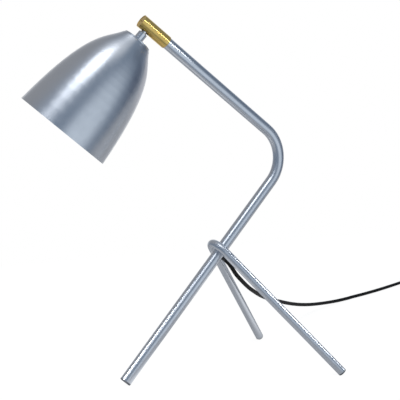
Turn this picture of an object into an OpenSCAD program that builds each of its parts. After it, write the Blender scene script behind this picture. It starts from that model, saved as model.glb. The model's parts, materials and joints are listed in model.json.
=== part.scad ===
// Tripod table lamp: one bent tube is the front leg, stem and arm, and a hairpin of thinner
// tube hooked over it makes the other two legs. A brass sleeve on the arm carries the shade
// on a ball. Millimetres, +Z up, the lamp's own plane is XZ with the shade towards -X.
// The origin is on the floor below the middle of the lamp without its cord.

/* [Stem and arm] */
// Outer diameter of the stem tube
stem_d = 16; // [15:0.5:18]
// Wall of the stem tube
stem_wall = 1.5; // [1:0.1:1.8]
// Length from the foot to the corner where stem and arm would meet
stem_run = 401; // [370:1:430]
// Lean of the stem above the floor, in degrees
stem_lean = 48.4; // [46:0.1:52]
// Rise of the arm above the level, in degrees
arm_rise = 36.2; // [32:0.1:40]
// Length from that corner to the free end of the brass sleeve
arm_run = 295; // [270:1:320]
// Centreline radius of the bend between stem and arm
stem_bend_r = 50; // [45:1:70]

/* [Hairpin legs] */
// Outer diameter of the leg tube
leg_d = 12; // [10:0.5:14]
// Wall of the leg tube
leg_wall = 1.2; // [1:0.1:1.5]
// Height up the stem where the hairpin crosses it
leg_cross = 222; // [200:1:240]
// Turn of the hairpin's plane away from square to the stem, in degrees
leg_cant = 9; // [5:0.5:12]
// Splay of each leg from the hairpin's middle line, in degrees
leg_splay = 22.2; // [18:0.2:26]
// Centreline radius of the hairpin's bend
leg_bend_r = 18; // [17:0.5:24]
// Gap between the two tubes, filled by the weld
weld_gap = 0.3; // [0.2:0.1:0.6]
// Diameter of the weld pad
weld_d = 7; // [5:0.5:8]

/* [Feet] */
// Length of a foot plug's head below its tube
plug_head = 2.4; // [2:0.1:4]
// Rounding of the head's lower edge
plug_round = 1.5; // [1:0.1:1.8]
// Length of a foot plug's spigot inside its tube
plug_spigot = 11; // [8:1:16]
// Wall of the hollow spigot
plug_wall = 1.6; // [1.2:0.1:2.4]
// Depth of the flat worn onto each foot where it rests
foot_flat = 0.5; // [0.3:0.1:0.8]

/* [Brass sleeve] */
// Outer diameter of the sleeve
sleeve_d = 17.8; // [17.4:0.1:19]
// Length of the sleeve
sleeve_len = 45; // [40:1:50]
// Chamfer on the sleeve's lower end
sleeve_chamfer = 0.6; // [0.3:0.1:0.8]
// Distance from the sleeve's free end to the middle of the ball
pivot_inset = 12.4; // [12:0.1:14]
// Distance from the sleeve's free end to the end of the arm tube
tube_inset = 24; // [23.5:0.1:27]
// Thickness of the rib inside the sleeve that keeps it on the arm
rib_t = 2; // [1.6:0.1:2.4]
// Hole in the rib
rib_hole_d = 10; // [9:0.1:11]
// Diameter of the chamber round the ball
chamber_d = 15.4; // [15:0.1:16]
// Step in the chamber that the inner seat stands on
chamber_step = 0.3; // [0.2:0.1:0.5]
// Thickness of the end cap
cap_t = 3; // [2.5:0.1:3.4]
// Recess of the end cap's face below the sleeve's edge
cap_recess = 0.4; // [0.2:0.1:0.6]
// Length of the slot for a coin in the end cap
cap_slot_len = 9; // [7:0.5:11]
// Width of the slot for a coin
cap_slot_w = 1.2; // [1:0.1:1.6]
// Depth of the slot for a coin
cap_slot_depth = 1; // [0.6:0.1:1.4]

/* [Arm bush] */
// Length of the bush inside the arm tube
bush_len = 12; // [10:1:16]
// Thickness of the bush's flange
bush_flange_t = 1.7; // [1.4:0.1:1.9]
// Bore of the bush for the leads
bush_bore = 5.4; // [5:0.1:6]

/* [Ball joint] */
// Diameter of the ball
ball_d = 14; // [13.6:0.1:14.4]
// Outer diameter of the hollow stud through the ball
stud_d = 8; // [7:0.1:8.4]
// Bore of the stud for the leads
stud_bore = 5.4; // [5:0.1:5.8]
// Diameter of the stud's head inside the ball
stud_head_d = 10; // [9.8:0.1:10.4]
// Thickness of the stud's head
stud_head_t = 1.5; // [1.2:0.1:1.6]
// Depth of the ball below the stud's head
stud_head_seat = 3; // [2.6:0.1:3.2]
// Distance from the ball's middle to where each seat begins
seat_start = 3; // [2.6:0.1:3.4]
// Length of each ball seat
seat_len = 4.4; // [4.2:0.1:4.6]
// Hole in each ball seat
seat_hole_d = 8; // [7:0.1:9]
// Thickness of the coned spring washer behind the outer seat
spring_t = 0.5; // [0.4:0.1:0.7]
// Largest tilt of the shade from square to the arm, in degrees
tilt_max = 12; // [10:1:16]
// Tilt of the shade towards the sleeve's free end as it stands, in degrees
tilt = 2.3; // [0:0.1:6]
// Turn of the sleeve on the arm as it stands, in degrees
swing = 11.35; // [0:0.05:20]

/* [Neck and shade] */
// Outer diameter of the neck spacer
neck_d = 12.4; // [11.6:0.1:15]
// Clearance between neck spacer and sleeve at the largest tilt
neck_gap = 0.3; // [0.2:0.1:0.8]
// Chamfer on the top of the neck spacer
neck_chamfer = 0.4; // [0.3:0.1:1]
// Distance from the ball's middle to the crown of the shade
crown_drop = 22.4; // [20:0.1:24]
// Height of the shade from crown to rim
shade_h = 152; // [140:1:165]
// Outer radius of the shade at its rim
rim_r = 66.2; // [62:0.1:70]
// Radius of the flat crown
crown_r = 19.8; // [18:0.1:20.4]
// Height of the step round the crown
crown_step = 1.6; // [1:0.1:2]
// Radius at the top of the curved wall
shoulder_r = 21.2; // [20.6:0.1:22]
// Depth of the top of the curved wall below the crown
shoulder_drop = 2.6; // [2.2:0.1:3.4]
// Length of the curve's upper pull, along the shoulder's slope
upper_pull = 25; // [20:0.5:30]
// Slope of the shoulder from the shade's axis, in degrees
shoulder_slope = 29.3; // [26:0.1:33]
// Length of the curve's lower pull, along the rim's slope
lower_pull = 122.3; // [105:0.1:126]
// Slope of the wall at the rim from the shade's axis, in degrees
rim_slope = 4.9; // [3:0.1:7]
// Wall of the spun shade
shade_wall = 1.2; // [0.8:0.1:1.6]

/* [Lamp holder] */
// Diameter of the washer under the crown
washer_d = 22; // [18:0.5:26]
// Thickness of the washer
washer_t = 1; // [0.8:0.1:1.5]
// Width of the lock nut across its flats
nut_af = 13; // [12:0.5:14]
// Thickness of the lock nut
nut_t = 4; // [3:0.5:5]
// Outer diameter of the lamp holder
holder_d = 28; // [26:0.5:30]
// Height of the holder's domed cap
holder_cap_h = 13; // [12:0.5:15]
// Height of the holder's skirt
holder_skirt_h = 28; // [26:0.5:30]
// Wall of the holder
holder_wall = 2; // [1.6:0.1:2.4]
// Thickness of the terminal block
block_t = 8; // [7:0.5:9]
// Outer diameter of the screw shell for a small screw cap
shell_d = 15.2; // [15:0.1:16]
// Wall of the screw shell
shell_wall = 0.5; // [0.4:0.1:0.6]
// Height of the screw shell
shell_h = 15; // [13:0.5:16]

/* [Bulb] */
// Diameter of the bulb's screw cap
bulb_cap_d = 13.8; // [13.6:0.1:13.9]
// Height of the bulb's screw cap
bulb_cap_h = 15; // [14:0.5:17]
// Diameter of the bulb's globe
globe_d = 45; // [40:1:48]
// Length of the bulb from contact to globe end
bulb_len = 78; // [74:1:84]
// Diameter of the bulb's collar at the globe
collar_d = 30; // [26:0.5:32]

/* [Leads and grommet] */
// Diameter of one insulated conductor
wire_d = 2.2; // [2:0.1:2.4]
// Gap between the two conductors
wire_gap = 0.3; // [0.2:0.1:0.5]
// Radius of the conductors' bend inside the cord hole
wire_bend_r = 4; // [3.5:0.1:4.4]
// Height up the stem of the cord hole
exit_run = 216; // [200:0.5:230]
// Diameter of the cord hole
exit_hole_d = 7.2; // [7:0.1:8]
// Diameter of the grommet's outer lip
lip_d = 8.6; // [8.2:0.1:10]
// Height of the lip above the tube
lip_t = 0.5; // [0.3:0.1:1]
// Diameter of the grommet's shoulder inside the tube
barb_d = 10; // [9:0.1:11]
// Length of the grommet's tapered nose
nose_len = 5; // [4:0.5:8]

/* [Cord] */
// Diameter of the cord
cord_d = 6; // [5.2:0.1:6.1]
// Radius of the coil's outer turn
coil_outer_r = 39; // [37:0.5:41]
// Distance from one turn to the next
coil_pitch = 6.4; // [6.2:0.1:7]
// Height of the coil's upper layer above the lower one
coil_rise = 6.2; // [6.1:0.1:7]
// Length of cord between the switch and the coil
coil_lead = 38; // [36:1:60]
// Length of cord between the coil and the plug
coil_tail = 18; // [16:1:40]

/* [Switch] */
// Length of the switch
switch_len = 60; // [54:1:66]
// Width of the switch
switch_w = 24; // [22:0.5:28]
// Height of the switch's lower shell
switch_base_h = 7; // [6.5:0.5:8]
// Height of the switch's upper shell
switch_cover_h = 10; // [9:0.5:11]
// Rounding of the switch's corners in plan
switch_round = 6; // [3:0.5:8]
// Wall of the switch's shells
switch_wall = 2; // [1.6:0.1:2.4]
// Length of the rocker
rocker_len = 18; // [16:0.5:20]
// Width of the rocker
rocker_w = 9.6; // [8:0.1:11]
// Height of the rocker's ends above its pivot
rocker_end_h = 4.6; // [4:0.1:5]
// Height of the rocker's middle above its pivot
rocker_mid_h = 3.2; // [2.6:0.1:3.6]
// Depth of the rocker's body below its pivot
rocker_body = 4; // [3:0.1:4.4]
// Tilt of the rocker to each side, in degrees
rocker_tilt = 7; // [5:0.5:8]
// Diameter of the rocker's pivots
rocker_pin_d = 3; // [2.5:0.1:3.2]
// Length of the bush that stands out of each end of the switch
bush_out = 4; // [3:0.5:8]
// Diameter of the bushes in the switch's end holes
switch_bush_d = 7; // [6.5:0.1:7.5]
// Diameter of the cover screws' heads
screw_head_d = 5; // [4.5:0.1:5.5]
// Diameter of the cover screws' threads
screw_d = 2.6; // [2.4:0.1:3]

/* [Plug] */
// Thickness of the plug
plug_t = 13.6; // [13:0.1:15]
// Width of the plug at its face
plug_w = 35; // [33:0.5:37]
// Length of the plug's body
plug_len = 37; // [33:1:42]
// Length of the plug's tapered cord relief
relief_len = 22; // [20:1:28]
// Diameter of the relief where it joins the body
relief_d = 10; // [9:0.1:11]
// Diameter of the plug's pins
pin_d = 4; // [3.9:0.1:4.1]
// Length of the plug's pins
pin_len = 19; // [18.5:0.1:19.5]
// Distance between the pins' middles
pin_pitch = 18.6; // [18.2:0.1:19]
// Depth of each pin inside the plug
pin_root = 9; // [7:0.5:12]
// Length of the sleeve round each pin
pin_sleeve_len = 10; // [9:0.5:10.5]
// Wall of the sleeve round each pin
pin_sleeve_wall = 0.5; // [0.4:0.1:0.6]

/* [Hidden] */
$fn = 64;
// Radial gap of a running fit, and the flat gap between faces that turn on each other
fit = 0.05;
// Gap round what moves in a slot, and round what need not be centred
slot_gap = 0.2;
// Margin by which a cutting body passes the surface it cuts
past = 1;
// Thinning of a wall where it is bent, and the lap of a straight over its bend
bend_draw = 0.05;
bend_lap = 0.2;

// ---------------------------------------------------------------- places of the main lines

// Height of the middle of a foot plug's end above the floor, for a tube of radius r whose
// axis climbs by climb for each unit of length: its rounded edge dips foot_flat under.
function foot_height(r, climb) =
    (r - plug_round) * sqrt(1 - climb * climb) + plug_round * (1 - climb) - foot_flat;

stem_r = stem_d / 2;
leg_r = leg_d / 2;
stem_turn = 180 - stem_lean - arm_rise;
stem_tangent = stem_bend_r * tan(stem_turn / 2);
stem_foot_z = foot_height(stem_r, sin(stem_lean));
corner = [stem_run * cos(stem_lean), 0, stem_foot_z + stem_run * sin(stem_lean)];

// Middle of the hairpin's bend, in the stem's own frame (X to its underside, Z up it)
hairpin_x = leg_bend_r * cos(leg_cant) - (stem_r + leg_r + weld_gap);
hairpin_run = leg_cross - leg_bend_r * sin(leg_cant);
// Angle of the hairpin's middle line below the level
hairpin_dip = 90 - stem_lean + leg_cant;
hairpin_z = stem_foot_z + hairpin_run * sin(stem_lean) - hairpin_x * cos(stem_lean);
leg_climb = cos(leg_splay) * sin(hairpin_dip);
leg_top_z = hairpin_z + leg_bend_r * sin(leg_splay) * sin(hairpin_dip);
leg_len = (leg_top_z - foot_height(leg_r, leg_climb)) / leg_climb;

// Direction of the shade's axis, from the ball towards the rim
head_axis = [
    -cos(tilt) * cos(swing) * sin(arm_rise) - sin(tilt) * cos(arm_rise),
    cos(tilt) * sin(swing),
    -cos(tilt) * cos(swing) * cos(arm_rise) + sin(tilt) * sin(arm_rise)
];
ball_x = corner[0] - (arm_run - pivot_inset) * cos(arm_rise);

// The lamp's two ends along X give the middle that the origin stands under
rim_end_x = ball_x + (crown_drop + shade_h) * head_axis[0]
    - rim_r * sqrt(1 - head_axis[0] * head_axis[0]);
leg_axis_x = cos(leg_splay) * cos(hairpin_dip);
leg_foot_x = hairpin_run * cos(stem_lean) + hairpin_x * sin(stem_lean)
    - leg_bend_r * sin(leg_splay) * cos(hairpin_dip) + leg_len * leg_axis_x;
leg_end_x = leg_foot_x - plug_round * leg_axis_x + plug_round
    + (leg_r - plug_round) * sqrt(1 - leg_axis_x * leg_axis_x);
middle_x = (rim_end_x + leg_end_x) / 2;

// ---------------------------------------------------------------- frames

// Stem's frame: Z up the stem from its foot, X square to it towards its underside
module stem_frame(up = 0) {
    translate([-middle_x, 0, stem_foot_z]) rotate([0, 90 - stem_lean, 0])
        translate([0, 0, up]) children();
}

// Hairpin's frame: X from its bend towards its feet, Z square to its plane
module hairpin_frame() {
    stem_frame(hairpin_run) translate([hairpin_x, 0, 0]) rotate([0, leg_cant, 0]) children();
}

// Frame at the start of one straight leg, Z along the leg
module leg_frame(side) {
    hairpin_frame() mirror([0, side < 0 ? 1 : 0, 0])
        translate([-leg_bend_r * sin(leg_splay), leg_bend_r * cos(leg_splay), 0])
            rotate([0, 90, leg_splay]) children();
}

// Arm's frame: Z up the arm, back is the distance from the sleeve's free end
module arm_frame(back) {
    translate([corner[0] - middle_x, 0, corner[2]]) rotate([0, arm_rise - 90, 0])
        translate([0, 0, arm_run - back]) children();
}

// Sleeve's frame at the ball, turned with the sleeve: the slot looks along -X
module sleeve_frame(back) {
    arm_frame(back) rotate([0, 0, -swing]) children();
}

// Shade's frame: Z from the ball's middle along the shade's axis
module head_frame(drop = 0) {
    sleeve_frame(pivot_inset) rotate([0, tilt - 90, 0]) translate([0, 0, drop]) children();
}

// ---------------------------------------------------------------- shared shapes

module tube_section(outer_d, wall) {
    difference() {
        circle(d = outer_d);
        circle(d = outer_d - 2 * wall);
    }
}

// Bend of a tube about Z, from the start of the turn at X, drawn thin by the bending
module tube_bend(bend_r, angle, outer_d, wall) {
    rotate_extrude(angle = angle) translate([bend_r, 0])
        tube_section(outer_d - 2 * bend_draw, wall - 2 * bend_draw);
}

module ring(outer_d, hole_d, thickness) {
    difference() {
        cylinder(d = outer_d, h = thickness);
        translate([0, 0, -past]) cylinder(d = hole_d, h = thickness + 2 * past);
    }
}

// Plate with rounded corners, long along X from 0, centred on Y
module rounded_plate(length, width, corner_r, thickness) {
    union() {
        translate([corner_r, -width / 2, 0])
            cube([length - 2 * corner_r, width, thickness]);
        translate([0, corner_r - width / 2, 0])
            cube([length, width - 2 * corner_r, thickness]);
        for (x = [corner_r, length - corner_r], y = [-1, 1])
            translate([x, y * (width / 2 - corner_r), 0]) cylinder(r = corner_r, h = thickness);
    }
}

// Foot plug for a tube, its end at Z 0 and its spigot up in the tube
module foot_plug(outer_d, bore_d) {
    spigot_d = bore_d - 2 * fit;
    difference() {
        union() {
            translate([0, 0, plug_round]) cylinder(d = outer_d, h = plug_head - plug_round);
            cylinder(d = outer_d - 2 * plug_round, h = plug_head);
            rotate_extrude() intersection() {
                translate([outer_d / 2 - plug_round, plug_round]) circle(r = plug_round);
                square([outer_d / 2, plug_head]);
            }
            translate([0, 0, plug_head]) cylinder(d = spigot_d, h = plug_spigot);
        }
        translate([0, 0, plug_head])
            cylinder(d = spigot_d - 2 * plug_wall, h = plug_spigot + past);
    }
}

module above_floor() {
    reach = 2 * stem_run;
    difference() {
        children();
        translate([-reach, -reach, -reach]) cube([2 * reach, 2 * reach, reach]);
    }
}

// ---------------------------------------------------------------- stand

module stem_tube() {
    straight = stem_run - stem_tangent - plug_head;
    arm = arm_run - stem_tangent - tube_inset;
    color("lightsteelblue") difference() {
        union() {
            stem_frame(plug_head)
                linear_extrude(straight + bend_lap) tube_section(stem_d, stem_wall);
            stem_frame(plug_head + straight) translate([-stem_bend_r, 0, 0])
                rotate([90, 0, 0]) tube_bend(stem_bend_r, stem_turn, stem_d, stem_wall);
            arm_frame(tube_inset + arm + bend_lap)
                linear_extrude(arm + bend_lap) tube_section(stem_d, stem_wall);
        }
        stem_frame(exit_run) rotate([0, 90, 0]) cylinder(d = exit_hole_d, h = stem_d);
    }
}

module leg_hairpin() {
    color("lightsteelblue") union() {
        hairpin_frame() rotate([0, 0, 90 + leg_splay])
            tube_bend(leg_bend_r, 180 - 2 * leg_splay, leg_d, leg_wall);
        for (side = [-1, 1]) leg_frame(side) translate([0, 0, -bend_lap])
            linear_extrude(leg_len - plug_head + bend_lap) tube_section(leg_d, leg_wall);
    }
}

// Weld pad between the two tubes, hollowed by both
module leg_weld() {
    color("slategray") difference() {
        stem_frame(leg_cross) rotate([0, -90, 0]) translate([0, 0, stem_r - weld_d / 4])
            cylinder(d = weld_d, h = weld_gap + weld_d / 2);
        stem_frame(leg_cross - weld_d) cylinder(d = stem_d, h = 2 * weld_d);
        hairpin_frame() rotate_extrude() translate([leg_bend_r, 0]) circle(d = leg_d);
    }
}

module stem_foot_plug() {
    color("gray") above_floor() stem_frame() foot_plug(stem_d, stem_d - 2 * stem_wall);
}

module leg_foot_plugs() {
    color("gray") above_floor() for (side = [-1, 1])
        leg_frame(side) translate([0, 0, leg_len]) mirror([0, 0, 1])
            foot_plug(leg_d, leg_d - 2 * leg_wall);
}

// Frame of the cord hole: Z straight out of the stem's underside, from the stem's axis
module exit_frame(out = 0) {
    stem_frame(exit_run) rotate([0, 90, 0]) translate([0, 0, out]) children();
}

nose_start = stem_r + lip_t;
nose_end = nose_start + nose_len;

module cord_grommet() {
    bore_r = stem_r - stem_wall - fit;
    neck = exit_hole_d - 2 * fit;
    color("dimgray") union() {
        intersection() {
            exit_frame(wire_bend_r) cylinder(d = barb_d, h = stem_r);
            stem_frame(exit_run - barb_d) cylinder(r = bore_r, h = 2 * barb_d);
        }
        exit_frame(wire_bend_r) cylinder(d = neck, h = nose_start - wire_bend_r);
        difference() {
            exit_frame(stem_r - lip_d / 4) cylinder(d = lip_d, h = lip_t + lip_d / 4);
            stem_frame(exit_run - lip_d) cylinder(r = stem_r + fit, h = 2 * lip_d);
        }
        exit_frame(nose_start) cylinder(d1 = neck, d2 = cord_d + 2 * fit, h = nose_len);
    }
}

// One conductor from the grommet up the stem, round the bend and up the arm
module stem_lead(y) {
    rise_start = exit_run + wire_bend_r;
    rise = stem_run - stem_tangent - rise_start;
    arm = arm_run - stem_tangent - bush_back;
    bend_d = wire_d - 2 * bend_draw;
    translate([0, y, 0]) union() {
        stem_frame(rise_start) translate([wire_bend_r, 0, 0]) rotate([90, 0, 0])
            rotate([0, 0, 180]) rotate_extrude(angle = 90)
                translate([wire_bend_r, 0]) circle(d = bend_d);
        stem_frame(rise_start - bend_lap) cylinder(d = wire_d, h = rise + 2 * bend_lap);
        stem_frame(stem_run - stem_tangent) translate([-stem_bend_r, 0, 0])
            rotate([90, 0, 0]) rotate_extrude(angle = stem_turn)
                translate([stem_bend_r, 0]) circle(d = bend_d);
        arm_frame(bush_back + arm + bend_lap) cylinder(d = wire_d, h = arm + bend_lap);
    }
}

wire_y = (wire_d + wire_gap) / 2;

module stem_leads() {
    color("saddlebrown") for (side = [-1, 1]) stem_lead(side * wire_y);
}

// Distances back from the sleeve's free end
rib_back = tube_inset - fit;
rib_front = rib_back - rib_t;
bush_back = rib_front - fit - bush_flange_t;
seat_shoulder = pivot_inset + seat_start + seat_len;

module arm_bush() {
    neck_d_in_rib = rib_hole_d - 2 * fit;
    color("darkgray") difference() {
        union() {
            arm_frame(tube_inset + bush_len)
                cylinder(d = stem_d - 2 * stem_wall - 2 * fit, h = bush_len);
            arm_frame(tube_inset) cylinder(d = neck_d_in_rib, h = tube_inset - bush_back);
            arm_frame(rib_front - fit)
                cylinder(d = chamber_d - 2 * chamber_step - 2 * fit, h = bush_flange_t);
        }
        arm_frame(tube_inset + bush_len + past)
            cylinder(d = bush_bore, h = bush_len + tube_inset - bush_back + 2 * past);
    }
}

// ---------------------------------------------------------------- brass sleeve

// Obround through the sleeve's wall on the slot side, long along the arm
module stud_slot() {
    slot_w = stud_d + 2 * slot_gap;
    half_len = sleeve_d / 2 * tan(tilt_max) + stud_d / 2 / cos(tilt_max) + slot_gap;
    shift = half_len - slot_w / 2;
    sleeve_frame(pivot_inset) rotate([0, -90, 0]) union() {
        for (side = [-1, 1]) translate([side * shift, 0, 0])
            cylinder(d = slot_w, h = sleeve_d);
        translate([-shift, -slot_w / 2, 0]) cube([2 * shift, slot_w, sleeve_d]);
    }
}

module brass_sleeve() {
    color("goldenrod") difference() {
        union() {
            sleeve_frame(sleeve_len - sleeve_chamfer)
                cylinder(d = sleeve_d, h = sleeve_len - sleeve_chamfer);
            sleeve_frame(sleeve_len)
                cylinder(d1 = sleeve_d - 2 * sleeve_chamfer, d2 = sleeve_d, h = sleeve_chamfer);
        }
        sleeve_frame(sleeve_len + past)
            cylinder(d = stem_d + 2 * fit, h = sleeve_len + past - rib_back);
        sleeve_frame(rib_back + past) cylinder(d = rib_hole_d, h = rib_t + 2 * past);
        sleeve_frame(rib_front)
            cylinder(d = chamber_d - 2 * chamber_step, h = rib_front);
        sleeve_frame(seat_shoulder) cylinder(d = chamber_d, h = seat_shoulder + past);
        stud_slot();
    }
}

module sleeve_end_cap() {
    color("darkgoldenrod") difference() {
        sleeve_frame(cap_recess + cap_t) cylinder(d = chamber_d - 2 * fit, h = cap_t);
        sleeve_frame(cap_recess + cap_slot_depth)
            translate([-cap_slot_w / 2, -cap_slot_len / 2, 0])
                cube([cap_slot_w, cap_slot_len, cap_slot_depth + past]);
    }
}

// Ring with a round pocket for the ball, toward is 1 for the arm's side and -1 for the end
module ball_seat(toward) {
    difference() {
        sleeve_frame(pivot_inset) mirror([0, 0, toward > 0 ? 1 : 0])
            translate([0, 0, seat_start])
                ring(chamber_d - 2 * fit, seat_hole_d, seat_len);
        sleeve_frame(pivot_inset) sphere(d = ball_d + 2 * fit);
        stud_slot();
    }
}

module ball_seat_inner() {
    color("ivory") ball_seat(1);
}

module ball_seat_outer() {
    color("ivory") ball_seat(-1);
}

module spring_washer() {
    back = pivot_inset - seat_start - seat_len;
    front = cap_recess + cap_t;
    inner_r = seat_hole_d / 2;
    outer_r = chamber_d / 2 - slot_gap;
    color("silver") sleeve_frame(back) rotate_extrude() polygon([
        [inner_r, 0],
        [inner_r + spring_t, 0],
        [outer_r, back - front - spring_t],
        [outer_r, back - front],
        [outer_r - spring_t, back - front],
        [inner_r, spring_t]
    ]);
}

// ---------------------------------------------------------------- ball and stud

module joint_ball() {
    color("silver") difference() {
        head_frame() sphere(d = ball_d);
        head_frame(-ball_d) cylinder(d = stud_d + 2 * fit, h = 2 * ball_d);
        head_frame(-ball_d) cylinder(d = stud_head_d + 2 * fit, h = ball_d - stud_head_seat);
    }
}

crown_inside = crown_drop + shade_wall;
washer_end = crown_inside + washer_t;
holder_start = washer_end + nut_t;
stud_end = holder_start + holder_cap_h / 2;

module head_stud() {
    color("lightgray") difference() {
        union() {
            head_frame(-stud_head_seat - fit - stud_head_t)
                cylinder(d = stud_head_d, h = stud_head_t);
            head_frame(-stud_head_seat - fit)
                cylinder(d = stud_d, h = stud_end + stud_head_seat + fit);
        }
        head_frame(-ball_d) cylinder(d = stud_bore, h = ball_d + stud_end + past);
    }
}

neck_start = (sleeve_d / 2 + neck_gap) / cos(tilt_max) + neck_d / 2 * tan(tilt_max);

module neck_spacer() {
    color("silver") difference() {
        union() {
            head_frame(neck_start) cylinder(
                d1 = neck_d - 2 * neck_chamfer, d2 = neck_d, h = neck_chamfer);
            head_frame(neck_start + neck_chamfer)
                cylinder(d = neck_d, h = crown_drop - neck_start - neck_chamfer);
        }
        head_frame() cylinder(d = stud_d + 2 * fit, h = crown_drop + past);
    }
}

// ---------------------------------------------------------------- shade

// Cubic curve through four points, and the unit normal that looks to the shade's inside
function curve(p, t) =
    pow(1 - t, 3) * p[0] + 3 * pow(1 - t, 2) * t * p[1]
    + 3 * (1 - t) * t * t * p[2] + pow(t, 3) * p[3];
function curve_slope(p, t) =
    3 * pow(1 - t, 2) * (p[1] - p[0]) + 6 * (1 - t) * t * (p[2] - p[1])
    + 3 * t * t * (p[3] - p[2]);
function inward(v) = [-v[1], v[0]] / norm(v);

// Radius and depth below the crown, down the outside of the wall
shade_pulls = [
    [shoulder_r, shoulder_drop],
    [shoulder_r + upper_pull * sin(shoulder_slope),
        shoulder_drop + upper_pull * cos(shoulder_slope)],
    [rim_r - lower_pull * sin(rim_slope), shade_h - lower_pull * cos(rim_slope)],
    [rim_r, shade_h]
];
shade_steps = 20;
outer_wall = [for (i = [0:shade_steps]) curve(shade_pulls, i / shade_steps)];
inner_wall = [for (i = [shade_steps:-1:0]) let (t = i / shade_steps)
    curve(shade_pulls, t) + shade_wall * inward(curve_slope(shade_pulls, t))];
inner_rim_r = rim_r - shade_wall / cos(rim_slope);
// Bevel on the crown's outer edge
crown_edge = 0.5;

module shade() {
    hole_r = stud_d / 2 + fit;
    color("lightsteelblue") head_frame(crown_drop) rotate_extrude($fn = 128) polygon(concat(
        [[hole_r, 0], [crown_r - crown_edge, 0], [crown_r, crown_edge], [crown_r, crown_step]],
        outer_wall,
        [[inner_rim_r, shade_h]],
        [for (i = [1:len(inner_wall) - 1]) inner_wall[i]],
        [[crown_r - shade_wall, crown_step + shade_wall], [crown_r - shade_wall, shade_wall],
            [hole_r, shade_wall]]
    ));
}

module shade_washer() {
    color("silver") head_frame(crown_inside) ring(washer_d, stud_d + 2 * fit, washer_t);
}

module lock_nut() {
    color("silver") difference() {
        head_frame(washer_end) cylinder(d = nut_af / cos(30), h = nut_t, $fn = 6);
        head_frame(washer_end - past) cylinder(d = stud_d + 2 * fit, h = nut_t + 2 * past);
    }
}

// ---------------------------------------------------------------- lamp holder

cap_top_d = nut_af + 2 * holder_wall;
skirt_start = holder_start + holder_cap_h;
skirt_bore_d = holder_d - 2 * holder_wall;
block_end = skirt_start + block_t;
shell_start = block_end;
mouth = skirt_start + holder_skirt_h;
mouth_lip = holder_wall;

module holder_cap() {
    cone_h = holder_cap_h / 2;
    color("white") difference() {
        union() {
            head_frame(holder_start) cylinder(d1 = cap_top_d, d2 = holder_d, h = cone_h);
            head_frame(holder_start + cone_h)
                cylinder(d = holder_d, h = holder_cap_h - cone_h);
        }
        head_frame(holder_start - past) cylinder(d = stud_d + 2 * fit, h = holder_cap_h);
        head_frame(holder_start + holder_wall)
            cylinder(d1 = cap_top_d - holder_wall, d2 = skirt_bore_d, h = cone_h);
        head_frame(holder_start + holder_wall + cone_h)
            cylinder(d = skirt_bore_d, h = holder_cap_h);
    }
}

module holder_skirt() {
    color("white") difference() {
        head_frame(skirt_start) cylinder(d = holder_d, h = holder_skirt_h);
        head_frame(skirt_start - past)
            cylinder(d = skirt_bore_d, h = holder_skirt_h + past - mouth_lip);
        head_frame(mouth - mouth_lip - past)
            cylinder(d = shell_d + 2 * mouth_lip, h = mouth_lip + 2 * past);
    }
}

module terminal_block() {
    color("whitesmoke") difference() {
        head_frame(skirt_start) cylinder(d = skirt_bore_d - 2 * fit, h = block_t);
        for (side = [-1, 1])
            head_frame(skirt_start - past) translate([0, side * terminal_y, 0])
                cylinder(d = terminal_d, h = block_t / 2 + past);
    }
}

terminal_y = skirt_bore_d / 4;
terminal_d = 3.4;
terminal_head_d = 5.2;
terminal_head_t = 1.4;

module terminal_screws() {
    color("gold") for (side = [-1, 1]) {
        head_frame(skirt_start) translate([0, side * terminal_y, 0])
            cylinder(d = terminal_d - 2 * fit, h = block_t / 2 - fit);
        head_frame(skirt_start - terminal_head_t) translate([0, side * terminal_y, 0])
            cylinder(d = terminal_head_d, h = terminal_head_t);
    }
}

module screw_shell() {
    color("gold") head_frame(shell_start)
        ring(shell_d, shell_d - 2 * shell_wall, shell_h);
}

tongue_w = 5;
tongue_t = 0.6;
tongue_len = 10;

module contact_tongue() {
    color("gold") head_frame(shell_start)
        translate([-tongue_len / 2, -tongue_w / 2, 0]) cube([tongue_len, tongue_w, tongue_t]);
}

// Two conductors down the stud to the terminal screws' level
module head_leads() {
    lead_start = -stud_head_seat;
    color("saddlebrown") for (side = [-1, 1])
        head_frame(lead_start) translate([0, side * wire_y, 0])
            cylinder(d = wire_d, h = skirt_start - lead_start);
}

// ---------------------------------------------------------------- bulb

contact_t = 1.6;
insulator_h = 3;
bulb_start = shell_start + tongue_t;
bulb_cap_start = bulb_start + contact_t + insulator_h;
collar_start = bulb_cap_start + bulb_cap_h;
globe_middle = bulb_start + bulb_len - globe_d / 2;
collar_end = globe_middle - sqrt(globe_d * globe_d - collar_d * collar_d) / 2;
contact_d = 5;
globe_wall = 1;
cap_wall = 0.6;

module bulb_contact() {
    color("silver") head_frame(bulb_start) cylinder(d = contact_d, h = contact_t);
}

module bulb_insulator() {
    color("black") head_frame(bulb_start + contact_t)
        cylinder(d1 = contact_d + 2 * cap_wall, d2 = bulb_cap_d - 4 * cap_wall, h = insulator_h);
}

module bulb_cap() {
    color("silver") difference() {
        head_frame(bulb_cap_start) cylinder(d = bulb_cap_d, h = bulb_cap_h);
        head_frame(bulb_cap_start + cap_wall)
            cylinder(d = bulb_cap_d - 2 * cap_wall, h = bulb_cap_h);
    }
}

module bulb_collar() {
    color("white") difference() {
        head_frame(collar_start)
            cylinder(d1 = bulb_cap_d + 2 * cap_wall, d2 = collar_d, h = collar_end - collar_start);
        head_frame(collar_start + 2 * cap_wall) cylinder(
            d1 = bulb_cap_d - 2 * cap_wall, d2 = collar_d - 4 * cap_wall,
            h = collar_end - collar_start);
    }
}

module bulb_globe() {
    color("white") difference() {
        head_frame(globe_middle) sphere(d = globe_d);
        head_frame(globe_middle) sphere(d = globe_d - 2 * globe_wall);
        head_frame(collar_end - globe_d) cylinder(d = globe_d, h = globe_d);
    }
}

// ---------------------------------------------------------------- cord

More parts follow.
